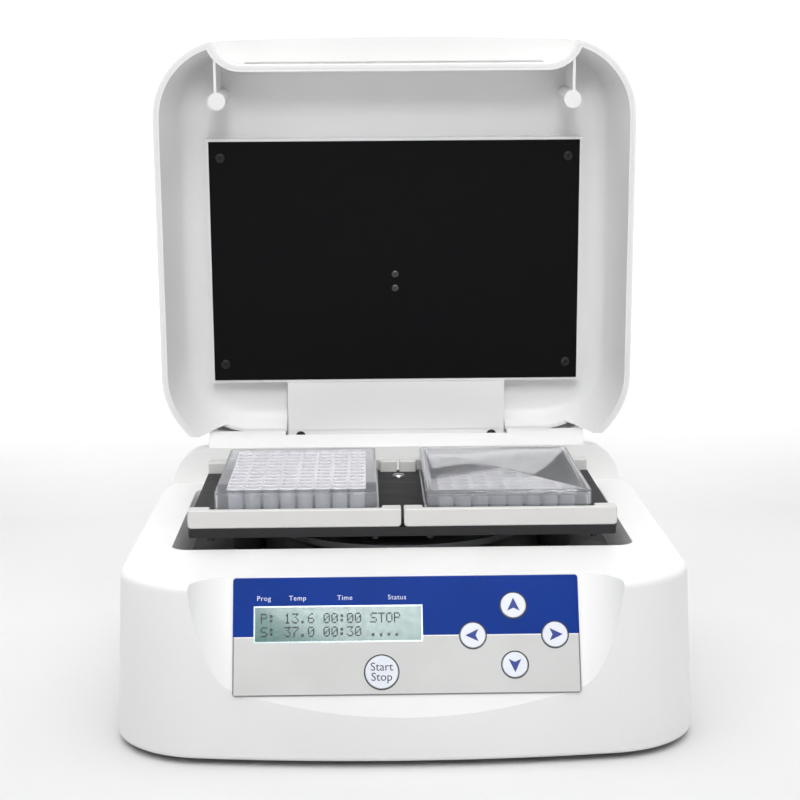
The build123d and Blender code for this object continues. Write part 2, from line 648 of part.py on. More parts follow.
with BuildPart() as lid_carrier:
    with BuildSketch(LID.offset(HEATED_FACE + 0.6)):
        with Locations((0, HEATED_Y)):
            Rectangle(HEATED_W + 3.0, HEATED_D + 3.0)
    extrude(amount=LID_FLOOR - HEATED_FACE - 0.6)
    with BuildSketch(LID_FACE):
        with Locations((0, HEATED_Y)):
            Rectangle(HEATED_W, HEATED_D)
    extrude(amount=HEATED_T, mode=Mode.SUBTRACT)
    with BuildSketch(LID_FACE):
        with Locations(HEATED_SCREWS + SENSOR_SCREWS):
            Circle(SCREW_R)
    extrude(amount=8, mode=Mode.SUBTRACT)
write(lid_carrier, "lid_carrier")

with BuildPart() as lid_heated_plate:
    with BuildSketch(LID_FACE):
        with Locations((0, HEATED_Y)):
            Rectangle(HEATED_W, HEATED_D)
        with Locations(HEATED_SCREWS + SENSOR_SCREWS):
            Circle(SCREW_R, mode=Mode.SUBTRACT)
    extrude(amount=HEATED_T)
    with BuildSketch(LID_FACE):
        with Locations(HEATED_SCREWS):
            Circle(3.1)
    extrude(amount=0.8, mode=Mode.SUBTRACT)
write(lid_heated_plate, "lid_heated_plate")
screws("lid_plate_screws", HEATED_SCREWS, 2.9, 0.9, SCREW_R, 6.0, LID.offset(HEATED_FACE + 0.8), up=-1)
screws("lid_sensor_screws", SENSOR_SCREWS, 2.2, 1.0, SCREW_R, 6.0, LID_FACE, up=-1)

# the arm's section: a box behind the heated plate, a strip set back from it, and the hinge barrel
STRIP_Y, STRIP_Z = -9.5, 11.0
NECK_Y = 3.5
ARM_STRIP = Plane(
    origin=LID_ACROSS.from_local_coords((ARM_SCREW_Y, STRIP_Z, 0)),
    x_dir=(1, 0, 0),
    z_dir=-LID.z_dir,
)
with BuildPart() as hinge_arm:
    with BuildSketch(LID_ACROSS.offset(-ARM_HALF + 0.8)):
        with BuildLine():
            Polyline(
                (ARM_FRONT, STRIP_Z - 0.5),
                (STRIP_Y, STRIP_Z - 0.5),
                (STRIP_Y, STRIP_Z),
                (0, STRIP_Z),
                (0, 0),
                (NECK_Y, 0),
                (NECK_Y, SLOT_Z - 3.3),
                (NECK_Y - 3.0, SLOT_Z - 0.3),
                (-5.5, SLOT_Z - 0.3),
                (-9.2, ARM_TOP),
                (ARM_FRONT, ARM_TOP),
                close=True,
            )
        make_face()
        Circle(BARREL_R)
    extrude(amount=2 * (ARM_HALF - 0.8))
    with BuildSketch(LID_ACROSS.offset(-ARM_HALF)):
        Circle(PIN_R)
    extrude(amount=ARM_HALF - PIN_IN, mode=Mode.SUBTRACT)
    with BuildSketch(LID_ACROSS.offset(PIN_IN)):
        Circle(PIN_R)
    extrude(amount=ARM_HALF - PIN_IN, mode=Mode.SUBTRACT)
    with BuildSketch(ARM_STRIP):
        with Locations(ARM_SCREWS):
            Circle(3.0)
    extrude(amount=-ARM_HEAD_IN, mode=Mode.SUBTRACT)
    with BuildSketch(ARM_STRIP):
        with Locations(ARM_SCREWS):
            Circle(SCREW_R)
    extrude(amount=-9.0, mode=Mode.SUBTRACT)
write(hinge_arm, "hinge_arm")
screws("hinge_arm_screws", ARM_SCREWS, 2.8, 1.5, SCREW_R, 4.5, ARM_STRIP.offset(-ARM_HEAD_IN))

with BuildPart() as hinge_pins:
    for side, sign in SIDES:
        with Locations((sign * (PIN_IN + PIN_OUT) / 2, HINGE_Y, HINGE_Z)):
            Cylinder(PIN_R, PIN_OUT - PIN_IN, rotation=(0, 90, 0))
write(hinge_pins, "hinge_pins")

with BuildPart() as hinge_bushes:
    for side, sign in SIDES:
        with Locations((sign * (KNUCKLE_IN + 10), HINGE_Y, HINGE_Z)):
            Cylinder(PIN_R + 1.5, 20, rotation=(0, 90, 0))
            Cylinder(PIN_R + RUN, 20, rotation=(0, 90, 0), mode=Mode.SUBTRACT)
write(hinge_bushes, "hinge_bushes")

# ---- control panel ------------------------------------------------------------------------------
FILM = 0.5
KEY_TRAVEL = 0.4
BOARD_DEPTH = 9.0

with BuildPart() as control_overlay:
    with BuildSketch(PANEL):
        RectangleRounded(PANEL_W, PANEL_H, 1.5)
        for name, spot in KEYS.items():
            with Locations(spot):
                Circle(key_radius(name) + 0.2, mode=Mode.SUBTRACT)
        with Locations(DISPLAY):
            Rectangle(DISPLAY_W, DISPLAY_H, mode=Mode.SUBTRACT)
    extrude(amount=FILM)
write(control_overlay, "control_overlay")

with BuildPart() as display_window:
    with BuildSketch(PANEL):
        with Locations(DISPLAY):
            Rectangle(DISPLAY_W, DISPLAY_H)
    extrude(amount=FILM)
write(display_window, "display_window")

with BuildPart() as display_module:
    with BuildSketch(PANEL.offset(-WALL - 0.2)):
        with Locations(DISPLAY):
            Rectangle(DISPLAY_W + 4, DISPLAY_H + 6)
    extrude(amount=-(BOARD_DEPTH - WALL - 0.2))
    with BuildSketch(PANEL.offset(-WALL - 0.2)):
        with Locations(DISPLAY):
            Rectangle(DISPLAY_W - 5, DISPLAY_H - 5)
    extrude(amount=-0.6, mode=Mode.SUBTRACT)
write(display_module, "display_module")

with BuildPart() as control_board:
    with BuildSketch(PANEL.offset(-BOARD_DEPTH)):
        RectangleRounded(154, 46, 2)
    extrude(amount=-1.6)
write(control_board, "control_board")

with BuildPart() as tact_switches:
    with BuildSketch(PANEL.offset(-BOARD_DEPTH)):
        with Locations(list(KEYS.values())):
            Rectangle(6.2, 6.2)
    extrude(amount=3.0)
    with BuildSketch(PANEL.offset(-BOARD_DEPTH + 3.0)):
        with Locations(list(KEYS.values())):
            Circle(1.7)
    extrude(amount=0.6)
write(tact_switches, "tact_switches")

for name, spot in KEYS.items():
    with BuildPart() as key:
        with BuildSketch(PANEL.offset(KEY_TRAVEL + 0.1)):
            with Locations(spot):
                Circle(key_radius(name))
        extrude(amount=0.7)
        fillet(key.edges().group_by(Axis(PANEL.origin, PANEL.z_dir))[-1], 0.3)
        with BuildSketch(PANEL.offset(KEY_TRAVEL + 0.1)):
            with Locations(spot):
                Circle(key_radius(name) - 1.3)
        extrude(amount=-(BOARD_DEPTH - 3.6 - 0.05))
    write(key, f"{name}_key")

# ---- mains side: inlet plate, inlet with fuse drawer, switch, supply ----------------------------
REAR_PLATE_Y = 131.0
REAR_PLATE_T = 1.5
FACE_Y = REAR_PLATE_Y + REAR_PLATE_T
INLET_W, INLET_H = 27.4, 30.0
DRAWER_W, DRAWER_H, DRAWER_D = 22.0, 7.0, 14.0
DRAWER_Z = INLET_Z + 9.5
SOCKET_Z = INLET_Z - 4.5
ROCKER_TILT = 8.0
SWITCH_W, SWITCH_H = 19.0, 27.0
DEEP = (Align.CENTER, Align.MAX, Align.CENTER)
PROUD = (Align.CENTER, Align.MIN, Align.CENTER)

with BuildPart() as rear_plate:
    with Locations((REAR_OPENING_X, FACE_Y, INLET_Z)):
        Box(REAR_OPENING[0] + 8, REAR_PLATE_T, REAR_OPENING[1] + 8, align=DEEP)
    with Locations((INLET_X, FACE_Y + 1, INLET_Z)):
        Box(INLET_W, 10, INLET_H, align=DEEP, mode=Mode.SUBTRACT)
    with Locations((SWITCH_X, FACE_Y + 1, INLET_Z)):
        Box(SWITCH_W, 10, SWITCH_H - 3, align=DEEP, mode=Mode.SUBTRACT)
write(rear_plate, "rear_plate")

with BuildPart() as mains_inlet:
    with Locations((INLET_X, FACE_Y, INLET_Z)):
        Box(INLET_W, 22, INLET_H, align=DEEP)
        Box(INLET_W + 3, 2, INLET_H + 3, align=PROUD)
    with Locations((INLET_X, FACE_Y + 2, SOCKET_Z)):
        Box(24.0, 17, 16.5, align=DEEP, mode=Mode.SUBTRACT)
    with Locations((INLET_X, FACE_Y + 2, DRAWER_Z)):
        Box(DRAWER_W + 0.4, DRAWER_D + 2.2, DRAWER_H + 0.4, align=DEEP, mode=Mode.SUBTRACT)
    with Locations([(INLET_X + x, FACE_Y - 15, SOCKET_Z + z) for x, z in ((-7, -2), (7, -2), (0, 2))]):
        Box(2, 12, 4, align=PROUD)
write(mains_inlet, "mains_inlet")

with BuildPart() as fuse_drawer:
    with Locations((INLET_X, FACE_Y + 2, DRAWER_Z)):
        Box(DRAWER_W, DRAWER_D + 2, DRAWER_H, align=DEEP)
        Box(DRAWER_W - 8, 1.2, DRAWER_H - 3, align=PROUD)
    with Locations((INLET_X, FACE_Y - 2, DRAWER_Z + 1)):
        Box(DRAWER_W - 3, DRAWER_D - 5, DRAWER_H, align=DEEP, mode=Mode.SUBTRACT)
write(fuse_drawer, "fuse_drawer")

with BuildPart() as switch_frame:
    with Locations((SWITCH_X, FACE_Y, INLET_Z)):
        Box(SWITCH_W, 14, SWITCH_H - 3, align=DEEP)
        Box(SWITCH_W + 2, 2, SWITCH_H, align=PROUD)
    with Locations((SWITCH_X, FACE_Y + 2, INLET_Z)):
        Box(SWITCH_W - 4, 9, SWITCH_H - 6, align=DEEP, mode=Mode.SUBTRACT)
write(switch_frame, "switch_frame")

ROCKER = Plane(
    origin=(SWITCH_X - (SWITCH_W - 5) / 2, FACE_Y - 1.0, INLET_Z),
    x_dir=(0, cos(radians(ROCKER_TILT)), sin(radians(ROCKER_TILT))),
    z_dir=(1, 0, 0),
)
with BuildPart() as power_rocker:
    with BuildSketch(ROCKER):
        with BuildLine():
            rocker_half = (SWITCH_H - 8) / 2
            Polyline((-3.0, -4.0), (1.5, -rocker_half), (3.6, -rocker_half))
            ThreePointArc((3.6, -rocker_half), (2.4, 0), (3.6, rocker_half))
            Polyline((3.6, rocker_half), (1.5, rocker_half), (-3.0, 4.0), (-3.0, -4.0))
        make_face()
    extrude(amount=SWITCH_W - 5)
write(power_rocker, "power_rocker")

with BuildPart() as power_supply:
    with Locations((-48, 66, PAN_TOP + 3)):
        Box(78, 76, 24, align=FOOT)
    fillet(power_supply.edges().filter_by(Axis.Z), 2.0)
    with Locations([(x, y, PAN_TOP) for x in (-82, -14) for y in (33, 99)]):
        Cylinder(3.0, 3.0, align=FOOT)
write(power_supply, "power_supply")

# ---- microplates --------------------------------------------------------------------------------
MICRO_Y = PLATFORM_FRONT + BAR_D + 0.2 + MICRO_D / 2
SKIRT_H = 2.4
RIGHT_H = 12.6
COVER_W, COVER_D = 85.2, 127.4
COVER_SKIRT = 7.5

for side, sign in SIDES:
    height = MICRO_H if side == "left" else RIGHT_H
    with BuildPart() as microplate:
        with BuildSketch(Plane.XY.offset(BLOCK_TOP)):
            with Locations((sign * MICRO_X, MICRO_Y)):
                RectangleRounded(MICRO_W, MICRO_D, 3.2)
        extrude(amount=SKIRT_H)
        with BuildSketch(Plane.XY.offset(BLOCK_TOP)):
            with Locations((sign * MICRO_X, MICRO_Y)):
                RectangleRounded(MICRO_TOP_W, MICRO_TOP_D, 3.0)
        extrude(amount=height)
        with BuildSketch(Plane.XY.offset(BLOCK_TOP + height)):
            with Locations((sign * MICRO_X, MICRO_Y)):
                with GridLocations(WELL_PITCH, WELL_PITCH, 8, 12):
                    Circle(WELL_R)
        extrude(amount=-10.7, mode=Mode.SUBTRACT)
    write(microplate, f"microplate_{side}")

with BuildPart() as microplate_cover:
    with BuildSketch(Plane.XY.offset(BLOCK_TOP + MICRO_H)):
        with Locations((MICRO_X, MICRO_Y)):
            RectangleRounded(COVER_W, COVER_D, 3.6)
    extrude(amount=-COVER_SKIRT)
    with BuildSketch(Plane.XY.offset(BLOCK_TOP + RIGHT_H)):
        with Locations((MICRO_X, MICRO_Y)):
            RectangleRounded(MICRO_TOP_W + 0.6, MICRO_TOP_D + 0.6, 3.3)
    extrude(amount=-COVER_SKIRT, mode=Mode.SUBTRACT)
write(microplate_cover, "microplate_cover")
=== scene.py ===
"""Looks for the orbital microplate shaker: materials, printed panel, screw heads and clear microplates,
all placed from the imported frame. Metres: +Z up, +X right, -Y towards the operator."""
import bmesh
import bpy
import json
from math import cos, pi, radians, sin
from mathutils import Matrix, Vector


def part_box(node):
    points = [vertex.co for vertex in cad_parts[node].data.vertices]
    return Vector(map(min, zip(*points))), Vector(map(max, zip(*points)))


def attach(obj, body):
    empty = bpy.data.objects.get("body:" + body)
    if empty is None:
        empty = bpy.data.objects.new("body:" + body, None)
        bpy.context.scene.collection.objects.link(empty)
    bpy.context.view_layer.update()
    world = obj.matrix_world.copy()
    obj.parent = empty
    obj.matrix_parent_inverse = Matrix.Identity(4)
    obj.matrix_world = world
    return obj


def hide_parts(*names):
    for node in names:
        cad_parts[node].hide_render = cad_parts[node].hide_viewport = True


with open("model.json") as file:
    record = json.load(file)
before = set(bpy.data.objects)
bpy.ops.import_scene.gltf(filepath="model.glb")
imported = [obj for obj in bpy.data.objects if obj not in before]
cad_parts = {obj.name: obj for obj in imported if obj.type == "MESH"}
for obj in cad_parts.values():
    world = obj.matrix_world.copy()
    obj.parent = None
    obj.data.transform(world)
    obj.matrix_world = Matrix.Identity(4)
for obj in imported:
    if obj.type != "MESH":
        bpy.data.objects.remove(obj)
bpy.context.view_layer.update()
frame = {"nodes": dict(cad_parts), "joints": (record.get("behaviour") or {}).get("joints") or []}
MM = 0.001
JOINTS = {joint["name"]: joint for joint in frame["joints"]}

# ---- camera -------------------------------------------------------------------------------------
CAMERA_AT = Vector((-0.01763, -0.99004, 0.30742))
CAMERA_DOWN, CAMERA_YAW, CAMERA_ROLL = 8.91, 1.03, -0.41
CAMERA_LENS = 83.90


def add_camera():
    """Camera at the usual eye height in front of the bench."""
    down, yaw, roll = (radians(a) for a in (CAMERA_DOWN, CAMERA_YAW, CAMERA_ROLL))
    ahead = Vector((sin(yaw) * cos(down), cos(yaw) * cos(down), -sin(down)))
    level = Vector((cos(yaw), -sin(yaw), 0))
    upright = level.cross(ahead)
    right = level * cos(roll) + upright * sin(roll)
    up = upright * cos(roll) - level * sin(roll)
    data = bpy.data.cameras.new("camera")
    data.lens = CAMERA_LENS
    data.sensor_width = 36.0
    data.clip_start = 0.01
    camera = bpy.data.objects.new("camera", data)
    turn = Matrix((right, up, -ahead)).transposed().to_4x4()
    camera.matrix_world = Matrix.Translation(CAMERA_AT) @ turn
    bpy.context.scene.collection.objects.link(camera)
    bpy.context.scene.camera = camera


# ---- materials ----------------------------------------------------------------------------------
def linear(red, green, blue):
    """Screen colour 0-255 to the linear colour that a shader takes."""
    def one(value):
        share = value / 255
        return share / 12.92 if share <= 0.04045 else ((share + 0.055) / 1.055) ** 2.4
    return (one(red), one(green), one(blue), 1.0)


class Shader:
    """A Principled material with helpers that add and join nodes."""

    def __init__(self, name):
        self.material = bpy.data.materials.new(name)
        self.material.use_nodes = True
        self.nodes = self.material.node_tree.nodes
        self.links = self.material.node_tree.links
        self.main = self.nodes["Principled BSDF"]
        self.place = self.node("ShaderNodeTexCoord").outputs["Object"]

    def node(self, kind, **values):
        made = self.nodes.new(kind)
        for key, value in values.items():
            setattr(made, key, value)
        return made

    def link(self, source, target):
        self.links.new(source, target)

    def set(self, **values):
        for key, value in values.items():
            self.main.inputs[key.replace("_", " ")].default_value = value
        return self

    def noise(self, scale, detail=3.0, rough=0.5, stretch=None):
        """Noise over the piece, scale in features per metre."""
        noise = self.node("ShaderNodeTexNoise")
        noise.inputs["Scale"].default_value = scale
        noise.inputs["Detail"].default_value = detail
        noise.inputs["Roughness"].default_value = rough
        source = self.place
        if stretch:
            squeeze = self.node("ShaderNodeMapping")
            squeeze.inputs["Scale"].default_value = stretch
            self.link(source, squeeze.inputs["Vector"])
            source = squeeze.outputs["Vector"]
        self.link(source, noise.inputs["Vector"])
        return noise.outputs["Fac"]

    def ramp(self, value, low, high, low_at=0.35, high_at=0.65):
        """Colour ramp between two colours."""
        ramp = self.node("ShaderNodeValToRGB")
        ends = ramp.color_ramp.elements
        ends[0].position, ends[1].position = low_at, high_at
        ends[0].color, ends[1].color = low, high
        self.link(value, ramp.inputs["Fac"])
        return ramp.outputs["Color"]

    def spread(self, value, low, high):
        """The value's 0.3-0.7 mapped onto low-high."""
        span = self.node("ShaderNodeMapRange")
        span.inputs["From Min"].default_value = 0.3
        span.inputs["From Max"].default_value = 0.7
        span.inputs["To Min"].default_value = low
        span.inputs["To Max"].default_value = high
        self.link(value, span.inputs["Value"])
        return span.outputs["Result"]

    def math(self, operation, first, second=None):
        made = self.node("ShaderNodeMath", operation=operation)
        for slot, value in enumerate((first, second)):
            if value is None:
                continue
            if isinstance(value, (int, float)):
                made.inputs[slot].default_value = value
            else:
                self.link(value, made.inputs[slot])
        return made.outputs["Value"]

    def along(self, axis, origin):
        """Signed distance of the shaded point from origin along axis."""
        away = self.node("ShaderNodeVectorMath", operation="SUBTRACT")
        self.link(self.place, away.inputs[0])
        away.inputs[1].default_value = origin
        dot = self.node("ShaderNodeVectorMath", operation="DOT_PRODUCT")
        self.link(away.outputs["Vector"], dot.inputs[0])
        dot.inputs[1].default_value = axis
        return dot.outputs["Value"]

    def mix(self, share, low, high):
        """Mix of two colours, each a colour or a socket."""
        mixer = self.node("ShaderNodeMix", data_type="RGBA")
        self.link(share, mixer.inputs["Factor"])
        for name, colour in (("A", low), ("B", high)):
            socket = [i for i in mixer.inputs if i.name == name and i.type == "RGBA"][0]
            if isinstance(colour, tuple):
                socket.default_value = colour
            else:
                self.link(colour, socket)
        return [o for o in mixer.outputs if o.type == "RGBA"][0]

    def bump(self, height, strength, distance):
        bump = self.node("ShaderNodeBump")
        bump.inputs["Strength"].default_value = strength
        bump.inputs["Distance"].default_value = distance
        self.link(height, bump.inputs["Height"])
        self.link(bump.outputs["Normal"], self.main.inputs["Normal"])
        return self

    def colour(self, source):
        self.link(source, self.main.inputs["Base Color"])
        return self

    def roughness(self, source):
        self.link(source, self.main.inputs["Roughness"])
        return self


def shade(colour, factor):
    """The same colour, lighter or darker."""
    return tuple(min(1.0, channel * factor) for channel in colour[:3]) + (1.0,)


def moulded(name, colour, rough=0.42, grain=0.00004, coat=0.0):
    """Injection-moulded plastic: faint tone drift, spark-eroded grain, patchy gloss."""
    s = Shader(name)
    drift = s.noise(9, 2)
    s.colour(s.ramp(drift, shade(colour, 0.965), shade(colour, 1.02)))
    s.roughness(s.spread(s.noise(60, 4), rough - 0.06, rough + 0.08))
    s.bump(s.noise(2600, 2), 0.35, grain)
    s.set(IOR=1.5, Specular_IOR_Level=0.45, Coat_Weight=coat, Coat_Roughness=0.2)
    return s.material


def anodised(name, colour, rough=0.45, shine=0.4):
    """Bead-blasted and anodised aluminium: sparkle of fine grain and a few handling marks."""
    s = Shader(name)
    fine = s.noise(1800, 2)
    rubbed = s.noise(35, 5, 0.6, (1.0, 6.0, 1.0))
    s.colour(s.ramp(rubbed, colour, shade(colour, 1.5), 0.45, 0.75))
    s.roughness(s.spread(rubbed, rough, rough + 0.14))
    s.bump(fine, 0.5, 0.00003)
    s.set(Specular_IOR_Level=shine)
    return s.material


def machined(name, colour, rough=0.28, stretch=(1.0, 1.0, 12.0)):
    """Turned or ground metal with fine tool lines."""
    s = Shader(name)
    lines = s.noise(900, 3, 0.5, stretch)
    s.colour(s.ramp(lines, shade(colour, 0.82), colour))
    s.roughness(s.spread(lines, rough - 0.06, rough + 0.12))
    s.bump(lines, 0.2, 0.00002)
    s.set(Metallic=1.0)
    return s.material


def rubber(name, colour):
    """Soft black rubber with a dusty bloom."""
    s = Shader(name)
    s.colour(s.ramp(s.noise(120, 5), colour, shade(colour, 1.9)))
    s.roughness(s.spread(s.noise(300, 3), 0.72, 0.9))
    s.bump(s.noise(1500, 3), 0.4, 0.00006)
    return s.material


def clear(name, tint, through, ior, rough):
    """Clear moulded polystyrene with faint flow lines; through is the share of light let through, and the
    rest is diffuse tint, which on the wells is a painted reflection.
    """
    s = Shader(name)
    s.set(Transmission_Weight=through, IOR=ior)
    s.colour(s.ramp(s.noise(70, 2), shade(tint, 0.97), tint))
    s.roughness(s.spread(s.noise(80, 3), rough, rough + 0.04))
    s.bump(s.noise(90, 3, 0.5, (1.0, 0.35, 1.0)), 0.06, 0.0002)
    return s.material


def laminate(name):
    """Green circuit board with lighter tracks."""
    s = Shader(name)
    tracks = s.node("ShaderNodeTexBrick")
    tracks.inputs["Scale"].default_value = 90
    tracks.inputs["Mortar Size"].default_value = 0.06
    s.link(s.place, tracks.inputs["Vector"])
    tracks.inputs["Color1"].default_value = linear(18, 78, 42)
    tracks.inputs["Color2"].default_value = linear(22, 88, 48)
    tracks.inputs["Mortar"].default_value = linear(58, 128, 70)
    s.colour(tracks.outputs["Color"])
    s.roughness(s.spread(s.noise(200, 2), 0.25, 0.4))
    return s.material


WHITE = linear(236, 236, 235)
LINER = linear(234, 234, 234)
BLUE = linear(0, 50, 138)
GREY_PRINT = linear(206, 207, 205)
INK = linear(42, 48, 62)
NAVY = linear(22, 52, 140)


# ---- panel frame --------------------------------------------------------------------------------
INTO = Vector(JOINTS["up_key_press"]["axis"])
PANEL_OUT = -INTO
PANEL_X = Vector((1, 0, 0))
PANEL_UP = PANEL_OUT.cross(PANEL_X)
FILM = 0.5 * MM
GAP_LINE, BORDER_LINE, DISPLAY_LINE = 0.45 * MM, 0.55 * MM, 0.7 * MM
OVERLAY_LOW, OVERLAY_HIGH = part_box("control_overlay")
PANEL_AT = (OVERLAY_LOW + OVERLAY_HIGH) / 2 + PANEL_OUT * FILM / 2
PANEL_HALF_X = (OVERLAY_HIGH.x - OVERLAY_LOW.x) / 2
PANEL_HALF_UP = ((OVERLAY_HIGH.z - OVERLAY_LOW.z) - FILM * PANEL_OUT.z) / 2 / PANEL_UP.z


def panel_matrix(point):
    """Frame standing on the panel at point: X across, Y up the slope, Z out."""
    turn = Matrix((PANEL_X, PANEL_UP, PANEL_OUT)).transposed().to_4x4()
    return Matrix.Translation(point) @ turn


def printed_film(name, edge_at):
    """Overlay print: blue band above, white line, pale grey below with a dark hairline border."""
    s = Shader(name)
    up = s.along(PANEL_UP, PANEL_AT)
    across = s.math("ABSOLUTE", s.along(PANEL_X, PANEL_AT))
    band = s.math("GREATER_THAN", up, edge_at)
    low = s.math("LESS_THAN", up, edge_at)
    white_gap = s.math("MULTIPLY", low, s.math("GREATER_THAN", up, edge_at - GAP_LINE))
    frame_side = s.math("GREATER_THAN", across, PANEL_HALF_X - BORDER_LINE)
    frame_foot = s.math("LESS_THAN", up, -PANEL_HALF_UP + BORDER_LINE)
    border = s.math("MULTIPLY", low, s.math("MAXIMUM", frame_side, frame_foot))
    tone = s.noise(40, 3)
    grey = s.ramp(tone, shade(GREY_PRINT, 0.97), shade(GREY_PRINT, 1.02))
    blue = s.ramp(tone, shade(BLUE, 0.93), shade(BLUE, 1.05))
    face = s.mix(band, grey, blue)
    face = s.mix(white_gap, face, linear(246, 247, 247))
    face = s.mix(border, face, linear(120, 118, 118))
    s.colour(face)
    s.roughness(s.spread(s.noise(500, 2), 0.38, 0.5))
    s.bump(s.noise(3000, 2), 0.25, 0.00002)
    s.set(Specular_IOR_Level=0.12)
    return s.material


def display_face(name, centre, half):
    """Display face: mottled teal with a pale outline."""
    s = Shader(name)
    across = s.along(PANEL_X, centre)
    up = s.along(PANEL_UP, centre)
    glow = s.noise(26, 2)
    green = s.ramp(glow, linear(60, 104, 101), linear(76, 122, 118))
    edge_x = s.math("GREATER_THAN", s.math("ABSOLUTE", across), half[0] - DISPLAY_LINE)
    edge_y = s.math("GREATER_THAN", s.math("ABSOLUTE", up), half[1] - DISPLAY_LINE)
    s.colour(s.mix(s.math("MAXIMUM", edge_x, edge_y), green, linear(214, 236, 236)))
    s.roughness(s.spread(s.noise(400, 2), 0.1, 0.2))
    s.set(Coat_Weight=0.3, Coat_Roughness=0.05)
    return s.material


# ---- mesh helpers -------------------------------------------------------------------------------
def add_piece(name, mesh_data, body, material, smooth=None):
    """Links a mesh as a piece that rides on body. smooth is an angle in degrees."""
    piece = bpy.data.objects.new(name, mesh_data)
    bpy.context.scene.collection.objects.link(piece)
    mesh_data.materials.clear()
    mesh_data.materials.append(material)
    if smooth:
        mesh_data.shade_smooth()
        mesh_data.set_sharp_from_angle(angle=radians(smooth))
    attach(piece, body)
    return piece


def finish_mesh(name, bm, matrix=None):
    """bmesh to mesh, moved by matrix."""
    bmesh.ops.recalc_face_normals(bm, faces=bm.faces)
    data = bpy.data.meshes.new(name)
    bm.to_mesh(data)
    bm.free()
    if matrix is not None:
        data.transform(matrix)
    return data


def ring(bm, radius_at, height, count=48, centre=(0, 0)):
    """One ring of vertices. radius_at is a number or a function of the angle."""
    verts = []
    for step in range(count):
        angle = 2 * pi * step / count
        radius = radius_at(angle) if callable(radius_at) else radius_at
        verts.append(bm.verts.new((centre[0] + radius * cos(angle), centre[1] + radius * sin(angle), height)))
    return verts


def skin(bm, low, high):
    """Quads between two rings of equal count."""
    count = len(low)
    for i in range(count):
        j = (i + 1) % count
        bm.faces.new((low[i], low[j], high[j], high[i]))


def lathe(bm, rings, close_ends=True):
    """Skins a list of rings, closing both ends."""
    for low, high in zip(rings, rings[1:]):
        skin(bm, low, high)
    if close_ends:
        bm.faces.new(list(reversed(rings[0])))
        bm.faces.new(rings[-1])


def cross_recess(reach, waist):
    """Outline of a cross slot as a radius over the angle."""
    def radius(angle):
        arm = abs(cos(2 * angle)) ** 6
        return waist + (reach - waist) * arm
    return radius


def hex_recess(reach):
    """Outline of a hexagon socket."""
    def radius(angle):
        return reach * cos(pi / 6) / cos((angle % (pi / 3)) - pi / 6)
    return radius


def screw_head(bm, radius, height, recess, depth, dome=0.35, spot=Matrix.Identity(4)):
    """Pan head with a recess, standing on z = 0 of the frame spot."""
    start = len(bm.verts)
    rings = [
        ring(bm, radius * 0.97, 0),
        ring(bm, radius, height * 0.12),
        ring(bm, radius, height * (1 - dome)),
        ring(bm, radius * 0.93, height * (1 - dome * 0.45)),
        ring(bm, radius * 0.78, height * (1 - dome * 0.12)),
        ring(bm, radius * 0.62, height),
        ring(bm, recess, height),
        ring(bm, lambda a: recess(a) * 0.8, height - depth * 0.85),
        ring(bm, lambda a: recess(a) * 0.35, height - depth),
    ]
    lathe(bm, rings)
    bm.verts.ensure_lookup_table()
    bmesh.ops.transform(bm, matrix=spot, verts=bm.verts[start:])


SHANK_R = 1.45 * MM


def screw_set(name, node, body, material, out, radius, height, recess, depth, dome=0.35):
    """Heads with real recesses in place of a node of plain screws; out is the way the heads face."""
    bm = bmesh.new()
    turn = out.to_track_quat("Z", "Y").to_matrix().to_4x4()
    for group in islands(node):
        middle = sum(group, Vector()) / len(group)
        reach = [point.dot(out) for point in group]
        foot = middle + out * (max(reach) - height - middle.dot(out))
        screw_head(bm, radius, height, recess, depth, dome, Matrix.Translation(foot) @ turn)
        shank(bm, foot, -out, SHANK_R, max(reach) - height - min(reach))
    piece = add_piece(name, finish_mesh(name, bm), body, material, 35)
    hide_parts(node)
    return piece


def shank(bm, top, way, radius, length):
    """Threaded shank with a few turns of thread drawn as ridges."""
    start = len(bm.verts)
    turns = max(4, int(length / (0.7 * MM)))
    rings = []
    for i in range(turns * 2 + 1):
        share = i / (turns * 2)
        rings.append(ring(bm, radius if i % 2 else radius * 0.82, share * length, 16))
    lathe(bm, rings)
    bm.verts.ensure_lookup_table()
    turn = way.to_track_quat("Z", "Y").to_matrix().to_4x4()
    bmesh.ops.transform(bm, matrix=Matrix.Translation(top) @ turn, verts=bm.verts[start:])


def islands(node):
    """Corner points of each separate solid of a node."""
    bm = bmesh.new()
    bm.from_mesh(frame["nodes"][node].data)
    bmesh.ops.remove_doubles(bm, verts=bm.verts, dist=1e-6)
    bm.verts.ensure_lookup_table()
    seen = set()
    found = []
    for first in bm.verts:
        if first in seen:
            continue
        seen.add(first)
        stack, group = [first], []
        while stack:
            vert = stack.pop()
            group.append(vert.co.copy())
            for edge in vert.link_edges:
                other = edge.other_vert(vert)
                if other not in seen:
                    seen.add(other)
                    stack.append(other)
        found.append(group)
    bm.free()
    return found


# ---- printed legends and display characters -----------------------------------------------------
DOTS = {
    "0": ".###. #...# #..## #.#.# ##..# #...# .###.",
    "1": "..#.. .##.. ..#.. ..#.. ..#.. ..#.. .###.",
    "3": "##### ...#. ..#.. ...#. ....# #...# .###.",
    "6": "..##. .#... #.... ####. #...# #...# .###.",
    "7": "##### ....# ...#. ..#.. .#... .#... .#...",
    ":": "..... .##.. .##.. ..... .##.. .##.. .....",
    ".": "..... ..... ..... ..... ..... .##.. .##..",
    "P": "####. #...# #...# ####. #.... #.... #....",
    "S": ".#### #.... #.... .###. ....# ....# ####.",
    "T": "##### ..#.. ..#.. ..#.. ..#.. ..#.. ..#..",
    "O": ".###. #...# #...# #...# #...# #...# .###.",
}


